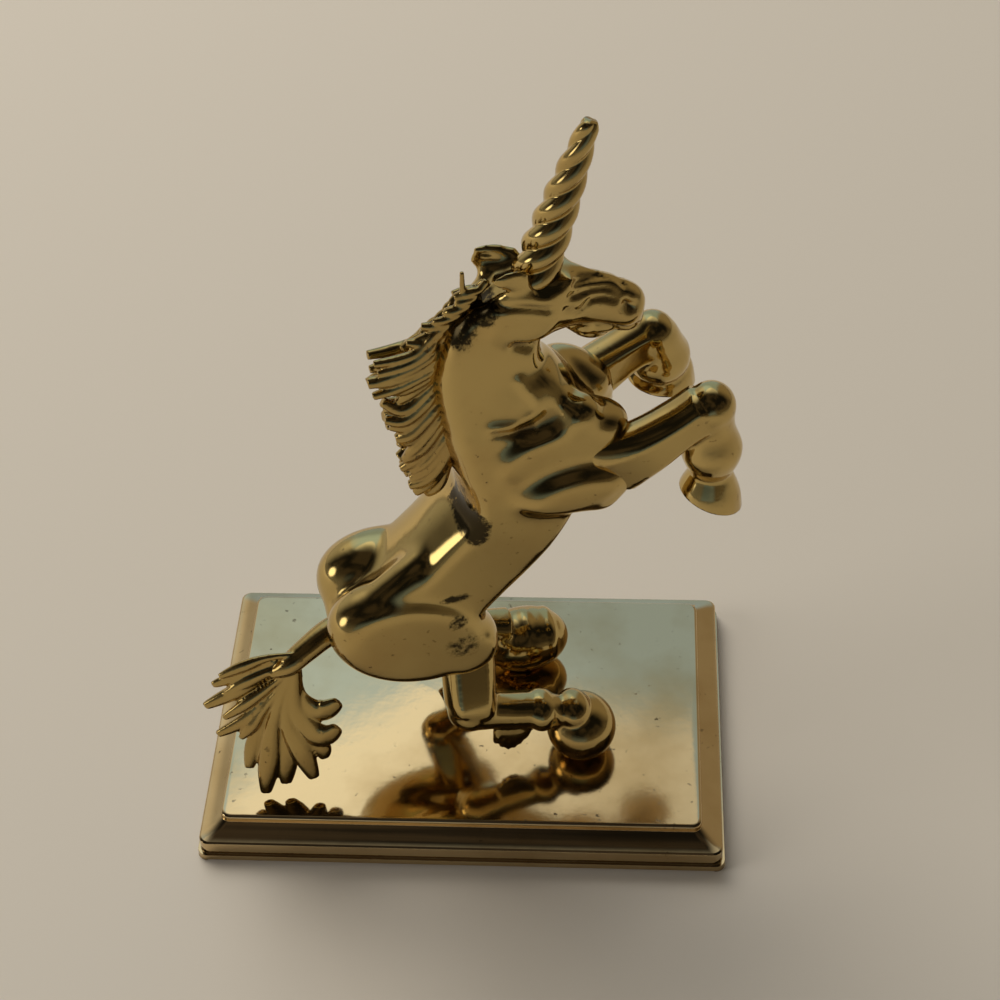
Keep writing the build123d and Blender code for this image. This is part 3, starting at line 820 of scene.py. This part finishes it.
# %% Horn
HORN_ROOT = Vector((-2.5, 0.0, 77.6))
HORN_LEAN = math.radians(18.5)
HORN_LENGTH = 19.5
HORN_SINK = 1.6
HORN_ROOT_RADIUS = 2.8
HORN_TAPER = (0.5, 1.2)
HORN_LEAD = 10.6
HORN_STEPS = 120
HORN_ROUND = 0.955
HORN_CLOSE = 1.02
STRANDS = 3
STRAND_RISE = 0.12


def horn_radius(share):
    """Radius of the horn at a share of its length.

    It thins towards the tip. From HORN_ROUND on it is rounded, as if to close at HORN_CLOSE."""
    radius = HORN_ROOT_RADIUS - HORN_TAPER[0] * share - HORN_TAPER[1] * share ** 2
    past = max(0.0, share - HORN_ROUND) / (HORN_CLOSE - HORN_ROUND)
    return radius * math.sqrt(1.0 - past ** 2)


horn = bmesh.new()
ring = bmesh.ops.create_circle(horn, cap_ends=True, radius=1.0, segments=48)["verts"]
for vert in ring:
    angle = math.atan2(vert.co.y, vert.co.x)
    vert.co *= 1.0 - 2 * STRAND_RISE * (1.0 - abs(math.cos(STRANDS * angle / 2)))
    vert.co *= HORN_ROOT_RADIUS
cap = horn.faces[:]
rise = (HORN_LENGTH + HORN_SINK) / HORN_STEPS
turn = Matrix.Rotation(2 * math.pi * rise / HORN_LEAD, 3, "Z")
for step in range(HORN_STEPS):
    made = bmesh.ops.extrude_face_region(horn, geom=cap)["geom"]
    ring = [item for item in made if isinstance(item, bmesh.types.BMVert)]
    if step:
        bmesh.ops.delete(horn, geom=cap, context="FACES_ONLY")
    cap = [item for item in made if isinstance(item, bmesh.types.BMFace)]
    bmesh.ops.translate(horn, verts=ring, vec=(0.0, 0.0, rise))
    bmesh.ops.rotate(horn, verts=ring, cent=(0.0, 0.0, 0.0), matrix=turn)
    shrink = horn_radius((step + 1) / HORN_STEPS) / horn_radius(step / HORN_STEPS)
    bmesh.ops.scale(horn, verts=ring, vec=(shrink, shrink, 1.0))
bmesh.ops.recalc_face_normals(horn, faces=horn.faces)
lean = (
    Matrix.Translation(HORN_ROOT)
    @ Matrix.Rotation(HORN_LEAN, 4, "Y")
    @ Matrix.Translation((0.0, 0.0, -HORN_SINK))
)
finish_piece("horn_rope", horn, "horn", casting_gilt, stand @ lean,
             hollow_rounds=6, hollow_depth=0.3)

# %% [markdown]
# ## Mane and tail
# The hair is carved as locks: ribbons that leave the crest or the tail's stem, swell and curl to
# a tip. Each lock is a tube of its own, laid over the others and melted with them at a fine
# grain, so that the valleys between the locks stay crisp.

# %% Tufts of the mane
# each tuft: x and z along its first lock and its last one, and how many locks it has
MANE_TUFTS = [
    ([(-9.2, 76.6), (-10.0, 76.5), (-10.9, 76.2), (-11.6, 75.8)],
     [(-14.0, 71.4), (-15.4, 70.6), (-16.5, 70.2), (-17.5, 69.9)], 7),
    ([(-15.1, 71.3), (-16.8, 69.5), (-19.2, 68.8), (-21.6, 68.6)],
     [(-15.4, 67.7), (-17.4, 66.8), (-20.0, 65.9), (-22.4, 65.1)], 4),
    ([(-15.5, 66.8), (-17.5, 65.8), (-19.7, 64.8), (-21.7, 64.0)],
     [(-15.8, 65.0), (-17.2, 64.1), (-18.5, 63.4), (-19.8, 62.8)], 3),
    ([(-15.8, 63.6), (-17.6, 61.8), (-19.2, 61.0), (-20.7, 62.0)],
     [(-15.3, 59.6), (-17.3, 57.2), (-18.6, 56.2), (-20.1, 55.7)], 5),
    ([(-15.0, 59.0), (-16.9, 56.4), (-18.1, 55.0), (-19.0, 53.6)],
     [(-13.8, 55.4), (-15.6, 52.6), (-17.2, 50.9), (-19.2, 49.6)], 5),
    ([(-13.7, 54.6), (-15.3, 51.7), (-16.9, 49.7), (-19.0, 48.4)],
     [(-14.2, 51.6), (-15.1, 49.0), (-15.8, 47.8), (-16.3, 46.9)], 4),
]
# the strip between the two sides: x, z, half depth and half width
MANE_CORE = [
    (-9.2, 75.2, 1.0, 1.2), (-12.2, 71.4, 1.4, 1.4), (-15.0, 67.2, 2.6, 1.6),
    (-15.8, 63.0, 2.8, 1.6), (-15.0, 58.0, 2.8, 1.6), (-14.8, 53.0, 2.2, 1.5),
    (-15.2, 49.8, 1.2, 1.1),
]
CORE_FLAT = 0.8
# one stray end that stands up: x, y, z and half thickness
STRAY_END = [(-11.0, -0.8, 74.6, 0.5), (-11.2, -1.2, 77.2, 0.35), (-11.2, -1.2, 79.5, 0.3)]
print("tufts of the mane:", len(MANE_TUFTS))

# %% Mane locks
# the root of a lock lies ahead of its first point, nearer the middle and higher
ROOT_AHEAD = 0.9
ROOT_OUT = 1.0
ROOT_UP = 1.0
ROOT_SWELL = 0.8
LEFT_DROP = 1.5
LOCK_HALF = 0.66
LOCK_OUT = 2.0
# no two locks are alike: how much chance may change each of them
HALF_CHANCE = 0.16
OUT_CHANCE = 0.35
BELLY_CHANCE = 0.2
TIP_CHANCE = 0.7
# at the four points of a lock: how thick it is and how far out it lies
LOCK_SWELL = (0.9, 1.05, 1.15, 0.9)
LOCK_LEAN = (1.0, 1.05, 0.95, 0.75)
# the first tuft, behind the ears, is finer and lies closer
FIRST_FINE = 0.8
FIRST_CLOSE = 0.7
MANE_GRAIN = 0.16


def lock_rows(line, side, half, out):
    """Stations of one lock, from its root to its tip."""
    root_x, root_z = line[0]
    rows = [(root_x + ROOT_AHEAD, side * ROOT_OUT, root_z + ROOT_UP, ROOT_SWELL * half)]
    for (x, z), swell, lean in zip(line, LOCK_SWELL, LOCK_LEAN):
        rows.append((x, side * out * lean, z, half * swell))
    return rows


shuffle = np.random.default_rng(11)
clay = bmesh.new()
locks = 0
for tuft, (first_line, last_line, count) in enumerate(MANE_TUFTS):
    for number in range(count):
        share = number / (count - 1)
        for side in (-1, 1):
            line = np.array(first_line) * (1 - share) + np.array(last_line) * share
            shake = shuffle.uniform(-1.0, 1.0, 4)
            if side > 0:
                line[:, 1] -= LEFT_DROP
            line[2] += BELLY_CHANCE * shake[:2]
            line[3] += TIP_CHANCE * shake[:2]
            half = LOCK_HALF + HALF_CHANCE * shake[2]
            out = LOCK_OUT + OUT_CHANCE * shake[3]
            if tuft == 0:
                half *= FIRST_FINE
                out *= FIRST_CLOSE
            limb(clay, lock_rows(line, side, half, out), steps=4, sides=12)
            locks += 1
limb(clay, [(x, 0.0, z, deep, wide) for x, z, deep, wide in MANE_CORE], flat=CORE_FLAT)
limb(clay, STRAY_END, sides=10)
print("mane:", locks, "locks")
finish_piece("mane_locks", melt(clay, MANE_GRAIN, 2), "mane", hair_gilt, stand,
             hollow_rounds=8, hollow_depth=0.2)

# %% Lines of the tail
# x, y, z and half thickness
TAIL_STEM = [
    (-27.2, 0.0, 24.4, 2.2), (-30.6, -0.9, 24.6, 1.8), (-34.0, -2.4, 23.6, 1.6),
    (-36.4, -3.2, 22.4, 1.4), (-38.8, -3.2, 21.2, 0.6),
]
# x, z along each lock from the stem to the tip, and the half depth and half width of its belly
TAIL_LOCKS = [
    [(-33.5, 24.2), (-38.5, 24.0), (-41.9, 22.9), (-45.0, 21.5), (0.9, 0.7)],
    [(-33.8, 23.5), (-38.8, 22.5), (-42.3, 21.1), (-46.0, 19.7), (1.2, 0.7)],
    [(-34.2, 23.2), (-38.6, 21.7), (-41.8, 20.2), (-44.6, 18.6), (1.0, 0.6)],
    [(-34.5, 23.0), (-39.4, 20.6), (-43.5, 18.3), (-47.4, 16.3), (1.3, 0.9)],
    [(-34.8, 22.8), (-39.2, 19.1), (-42.5, 16.6), (-45.4, 14.6), (1.0, 0.7)],
    [(-35.2, 22.4), (-39.2, 17.2), (-42.9, 13.5), (-46.5, 11.4), (1.2, 0.8)],
    [(-35.6, 22.0), (-40.4, 15.4), (-42.2, 12.8), (-43.8, 11.0), (0.9, 0.7)],
    [(-36.0, 21.6), (-40.2, 14.0), (-42.2, 9.4), (-43.4, 5.5), (1.4, 0.8)],
    [(-36.2, 21.4), (-39.4, 13.2), (-40.8, 6.5), (-41.8, 1.6), (1.6, 1.0)],
    [(-36.2, 21.2), (-38.4, 12.8), (-38.4, 6.8), (-39.0, 2.4), (1.6, 0.8)],
    [(-36.2, 21.2), (-37.6, 13.4), (-36.4, 8.0), (-35.4, 3.6), (1.6, 0.9)],
    [(-36.0, 21.4), (-37.0, 14.4), (-35.6, 10.2), (-33.8, 8.0), (-33.6, 6.2), (1.3, 0.8)],
    [(-35.8, 21.6), (-36.4, 15.6), (-35.0, 11.9), (-33.3, 10.4), (-31.5, 11.6), (2.0, 0.9)],
    [(-35.4, 22.0), (-35.8, 17.4), (-34.5, 14.9), (-32.8, 14.3), (-30.9, 15.4), (2.0, 0.9)],
]
# a thin web behind the locks: x, z and half depth
TAIL_WEB = [(-35.8, 21.8, 1.0), (-38.6, 17.0, 2.6), (-39.6, 12.6, 3.4), (-39.4, 8.0, 2.6)]
print("lines of the tail:", len(TAIL_LOCKS))

# %% Tail locks
# the fan of the tail is a slanting plane through one point
FAN_POINT = (-46.8, -1.9, 20.0)
FAN_SLOPE = 0.16
# every other lock lies a little in front of the fan, and the rest a little behind it
LOCK_LIFT = 0.25
WEB_BEHIND = 0.9
WEB_HALF = 0.4
# how thick a lock is, by share of its length
SWELL_SHARES = (0.0, 0.35, 0.7, 0.9, 1.0)
SWELLS = (0.35, 0.6, 1.0, 0.95, 0.55)
TIP_REACH = 0.06
TIP_SWELL = 0.2
TAIL_GRAIN = 0.17


def fan_side(x, z):
    """The y of the fan at a point of the side view."""
    fan_x, fan_y, fan_z = FAN_POINT
    return fan_y - FAN_SLOPE * (x - fan_x) - FAN_SLOPE * (fan_z - z)


clay = bmesh.new()
limb(clay, TAIL_STEM)
limb(clay, [(x, fan_side(x, z) + WEB_BEHIND, z, deep, WEB_HALF) for x, z, deep in TAIL_WEB])
for number, (*line, (deep, wide)) in enumerate(TAIL_LOCKS):
    swells = np.interp(np.linspace(0, 1, len(line)), SWELL_SHARES, SWELLS)
    tip = (1 + TIP_REACH) * np.array(line[-1]) - TIP_REACH * np.array(line[-2])
    lift = LOCK_LIFT if number % 2 else -LOCK_LIFT
    rows = []
    for (x, z), swell in zip([*line, tip], [*swells, TIP_SWELL]):
        rows.append((x, fan_side(x, z) + lift, z, deep * swell, wide * swell))
    limb(clay, rows, sides=16)
finish_piece("tail_locks", melt(clay, TAIL_GRAIN, 2), "tail", hair_gilt, stand,
             hollow_rounds=8, hollow_depth=0.25)

# %% [markdown]
# ## Plate and felt
# The plate is a stepped moulding: a thin flange, a lower tier, a hollow cove and a small upright
# riser with a rounded lip round a flat polished top. All of it follows from one cross-section, so
# a rectangle is extruded step by step, and each new top is drawn in by the section's own amount.

# %% Section of the plate
FLANGE_HEIGHT = 0.9
FLANGE_STEP = 0.35
TIER_HEIGHT = 2.95
COVE_FOOT = (0.55, 3.15)
COVE_STEPS = 8
RISER_INSET = 3.1
RISER_FOOT = 4.3
LIP_RADIUS = 0.45
LIP_STEPS = 6
plate_size = (plate_high - plate_low) / MM


def cove_rise(share):
    """Rise of the hollow cove at a share of its run: half of it straight and half curved."""
    return 0.5 * share + 0.5 * share ** 2


# how far in from the edge, and how high
section = [
    (0.0, FLANGE_HEIGHT),
    (FLANGE_STEP, FLANGE_HEIGHT),
    (FLANGE_STEP, TIER_HEIGHT),
    COVE_FOOT,
]
for step in range(1, COVE_STEPS + 1):
    share = step / COVE_STEPS
    section.append((COVE_FOOT[0] + (RISER_INSET - COVE_FOOT[0]) * share,
                    COVE_FOOT[1] + (RISER_FOOT - COVE_FOOT[1]) * cove_rise(share)))
section.append((RISER_INSET, plate_size.z - LIP_RADIUS))
for step in range(1, LIP_STEPS + 1):
    angle = math.radians(90.0 * step / LIP_STEPS)
    section.append((RISER_INSET + LIP_RADIUS * (1 - math.cos(angle)),
                    plate_size.z - LIP_RADIUS * (1 - math.sin(angle))))
print("section of the plate:", len(section), "points")

# %% Plate
CORNER_RADIUS = 1.3
FELT_BORDER = 5.0
FELT_CLEARANCE = 0.15
FELT_THICKNESS = 1.0
SOFT_WIDTH = 0.09 * MM
SOFT_ANGLE = math.radians(25.0)

plate = bmesh.new()
bmesh.ops.create_grid(plate, x_segments=1, y_segments=1, size=0.5)
bmesh.ops.scale(plate, vec=(plate_size.x, plate_size.y, 1.0), verts=plate.verts)
bmesh.ops.bevel(plate, geom=plate.verts[:], offset=CORNER_RADIUS, segments=6, profile=0.5,
                affect="VERTICES", material=-1)
underside = plate.faces[:]
top = underside
inset = 0.0
for next_inset, height in section:
    made = bmesh.ops.extrude_face_region(plate, geom=top, use_keep_orig=top is underside)["geom"]
    if top is not underside:
        bmesh.ops.delete(plate, geom=top, context="FACES_ONLY")
    corners = [item for item in made if isinstance(item, bmesh.types.BMVert)]
    top = [item for item in made if isinstance(item, bmesh.types.BMFace)]
    for corner in corners:
        corner.co.x -= math.copysign(next_inset - inset, corner.co.x)
        corner.co.y -= math.copysign(next_inset - inset, corner.co.y)
        corner.co.z = height
    inset = next_inset
bmesh.ops.inset_region(plate, faces=underside, thickness=FELT_BORDER - FELT_CLEARANCE)
made = bmesh.ops.extrude_face_region(plate, geom=underside)["geom"]
bmesh.ops.delete(plate, geom=underside, context="FACES_ONLY")
recess = [item for item in made if isinstance(item, bmesh.types.BMVert)]
bmesh.ops.translate(plate, verts=recess, vec=(0.0, 0.0, FELT_THICKNESS))
bmesh.ops.recalc_face_normals(plate, faces=plate.faces)
middle = (plate_low + plate_high) / 2
lay = Matrix.Translation((middle.x, middle.y, plate_low.z)) @ Matrix.Scale(MM, 4)
plate_piece = finish_piece("stepped_plate", plate, "base_plate", plate_gilt, lay)
soften = plate_piece.modifiers.new("soften", "BEVEL")
soften.width = SOFT_WIDTH
soften.segments = 2
soften.limit_method = "ANGLE"
soften.angle_limit = SOFT_ANGLE
soften.harden_normals = True

# %% Felt
FELT_CORNER = 0.8 * MM
felt_low, felt_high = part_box("felt_pad")
felt_sheet = bmesh.new()
bmesh.ops.create_cube(felt_sheet, size=1.0)
bmesh.ops.scale(felt_sheet, vec=felt_high - felt_low, verts=felt_sheet.verts)
bmesh.ops.translate(felt_sheet, vec=(felt_low + felt_high) / 2, verts=felt_sheet.verts)
upright = [
    edge for edge in felt_sheet.edges
    if abs(edge.verts[0].co.z - edge.verts[1].co.z) > 0.5 * FELT_THICKNESS * MM
]
bmesh.ops.bevel(felt_sheet, geom=upright, offset=FELT_CORNER, segments=4, profile=0.5,
                affect="EDGES", material=-1)
felt_piece = finish_piece("felt_sheet", felt_sheet, "felt_pad", felt)
for polygon in felt_piece.data.polygons:
    polygon.use_smooth = False

# %% [markdown]
# ## Floor, light and camera
# Polished metal shows its surroundings, so these are painted in the world's light instead of being
# modelled. Behind the figure is a bright sky: cream overhead, blue below that, and warm to both
# sides, with a high window. The camera's side is a dim brown room with one small window at the
# left, so that the forms carry dark bands between the gold. A pale floor lights the sides from
# below, and two soft lamps light the floor. The camera looks down at the figure from the front.

# %% Floor
FLOOR_COLOUR = (0.65, 0.573, 0.465, 1.0)
FLOOR_REACH = 4.0
floor_mesh = bmesh.new()
bmesh.ops.create_grid(floor_mesh, x_segments=1, y_segments=1, size=FLOOR_REACH)
bmesh.ops.translate(floor_mesh, verts=floor_mesh.verts, vec=(0.0, 0.0, cad_low.z))
floor_data = bpy.data.meshes.new("floor")
floor_mesh.to_mesh(floor_data)
floor_mesh.free()
floor = bpy.data.objects.new("floor", floor_data)
bpy.context.scene.collection.objects.link(floor)
cloth, _, cloth_shader = new_material("floor")
cloth_shader.inputs["Base Color"].default_value = FLOOR_COLOUR
cloth_shader.inputs["Roughness"].default_value = 0.8
floor_data.materials.append(cloth)
floor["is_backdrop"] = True
print("floor at", round(cad_low.z / MM, 2), "mm")

# %% Helpers for the painted surroundings
world = bpy.data.worlds.new("studio")
bpy.context.scene.world = world
world.use_nodes = True
sky = world.node_tree
glow = sky.nodes["Background"]
heading = sky.nodes.new("ShaderNodeTexCoord").outputs["Generated"]
parts = sky.nodes.new("ShaderNodeSeparateXYZ")
sky.links.new(heading, parts.inputs["Vector"])


def sky_noise(scale, detail):
    """Noise over the directions of the surroundings."""
    noise = sky.nodes.new("ShaderNodeTexNoise")
    noise.inputs["Scale"].default_value = scale
    noise.inputs["Detail"].default_value = detail
    sky.links.new(heading, noise.inputs["Vector"])
    return noise.outputs["Fac"]


def window(direction, rim, core):
    """One in a round window in a direction and zero outside it; rim and core are cosines."""
    nearness = sky.nodes.new("ShaderNodeVectorMath")
    nearness.operation = "DOT_PRODUCT"
    nearness.inputs[1].default_value = Vector(direction).normalized()
    sky.links.new(heading, nearness.inputs[0])
    return spread(sky, nearness.outputs["Value"], rim, core, 0.0, 1.0, soft=True)


print("world:", world.name)

# %% Bright sky and dim room
ROOM_DARK = (0.010, 0.010, 0.010, 1.0)
ROOM_BROWN = (0.06, 0.048, 0.036, 1.0)
SKY_LEFT = (0.52, 0.50, 0.44, 1.0)
SKY_RIGHT = (0.34, 0.28, 0.19, 1.0)
SKY_BLUE = (0.41, 0.57, 0.76, 1.0)
SKY_CREAM = (0.84, 0.86, 0.84, 1.0)

room_share = spread(sky, sky_noise(2.2, 3.0), 0.42, 0.66, 0.0, 1.0, soft=True)
room = blend_colours(sky, room_share, ROOM_DARK, ROOM_BROWN)
right_share = spread(sky, parts.outputs["X"], -0.3, 0.3, 0.0, 1.0)
sides = blend_colours(sky, right_share, SKY_LEFT, SKY_RIGHT)
aside = combine(sky, "ABSOLUTE", combine(sky, "ADD", parts.outputs["X"], 0.08))
side_share = spread(sky, aside, 0.25, 0.5, 0.0, 1.0, soft=True)
lower_sky = blend_colours(sky, side_share, SKY_BLUE, sides)
overhead = combine(sky, "MULTIPLY_ADD", aside, -0.25, parts.outputs["Z"])
ragged = combine(sky, "MULTIPLY_ADD", sky_noise(14.0, 4.0), 0.05, -0.025)
cream_share = spread(sky, combine(sky, "ADD", overhead, ragged), 0.752, 0.778, 0.0, 1.0, soft=True)
bright = blend_colours(sky, cream_share, lower_sky, SKY_CREAM)

# the sky is behind the figure, and a little of it shows low down all round
behind = spread(sky, parts.outputs["Y"], 0.0, 0.60, 0.0, 1.0, soft=True)
low = spread(sky, parts.outputs["Z"], 0.0, 0.40, 1.0, 0.0, soft=True)
sky_share = combine(sky, "MAXIMUM", behind, combine(sky, "MULTIPLY", low, 0.40))
surround = blend_colours(sky, sky_share, room, bright)
print("sky and room painted with", len(sky.nodes), "nodes")

# %% Windows
HIGH_WINDOW = (-0.45, 0.62, 0.80)
LEFT_WINDOW = (-0.90, -0.28, 0.22)
LEFT_COLOUR = (1.0, 0.97, 0.90, 1.0)
SKY_STRENGTH = 0.9
HIGH_BOOST = 0.55
LEFT_BOOST = 1.6

high_window = window(HIGH_WINDOW, 0.88, 0.99)
left_window = window(LEFT_WINDOW, 0.978, 0.992)
sky.links.new(blend_colours(sky, left_window, surround, LEFT_COLOUR), glow.inputs["Color"])
strength = combine(sky, "MULTIPLY_ADD", high_window, HIGH_BOOST, SKY_STRENGTH)
strength = combine(sky, "MULTIPLY_ADD", left_window, LEFT_BOOST, strength)
sky.links.new(strength, glow.inputs["Strength"])
print("windows painted")

# %% Lamps
LAMP_TARGET = (0.0, 0.0, 0.04)


def softbox(name, place, target, size, power, colour):
    """A square area lamp that faces a target and doesn't show in reflections."""
    lamp = bpy.data.lights.new(name, "AREA")
    lamp.shape = "SQUARE"
    lamp.size = size
    lamp.energy = power
    lamp.color = colour
    holder = bpy.data.objects.new(name, lamp)
    holder.location = place
    holder.rotation_euler = (Vector(target) - Vector(place)).to_track_quat("-Z", "Y").to_euler()
    holder.visible_glossy = False
    bpy.context.scene.collection.objects.link(holder)


softbox("key", (-0.45, 0.75, 0.95), LAMP_TARGET, 0.9, 12.0, (1.0, 0.97, 0.92))
softbox("fill", (-0.9, -0.15, 0.35), LAMP_TARGET, 0.5, 3.0, (0.95, 0.97, 1.0))
print("lamps: key and fill")

# %% Camera
CAMERA_PLACE = (19.2, -186.5, 230.7)
CAMERA_TURN = (45.25, 1.52, 2.70)
LENS = 75.9
turn = Euler([math.radians(angle) for angle in CAMERA_TURN])
camera_data = bpy.data.cameras.new("camera")
camera_data.lens = LENS
camera_data.sensor_width = 36.0
camera_data.clip_start = 0.01
camera = bpy.data.objects.new("camera", camera_data)
camera.matrix_world = Matrix.LocRotScale(Vector(CAMERA_PLACE) * MM, turn, None)
bpy.context.scene.collection.objects.link(camera)
bpy.context.scene.camera = camera
bpy.context.scene.view_settings.view_transform = "Standard"
print("camera at", CAMERA_PLACE, "mm with a lens of", LENS, "mm")

# %% Print both boxes and finish
seen_low, seen_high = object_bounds()
for label, low_corner, high_corner in (("CAD", cad_low, cad_high), ("seen", seen_low, seen_high)):
    print(label, [round(v / MM, 1) for v in (*low_corner, *high_corner)])
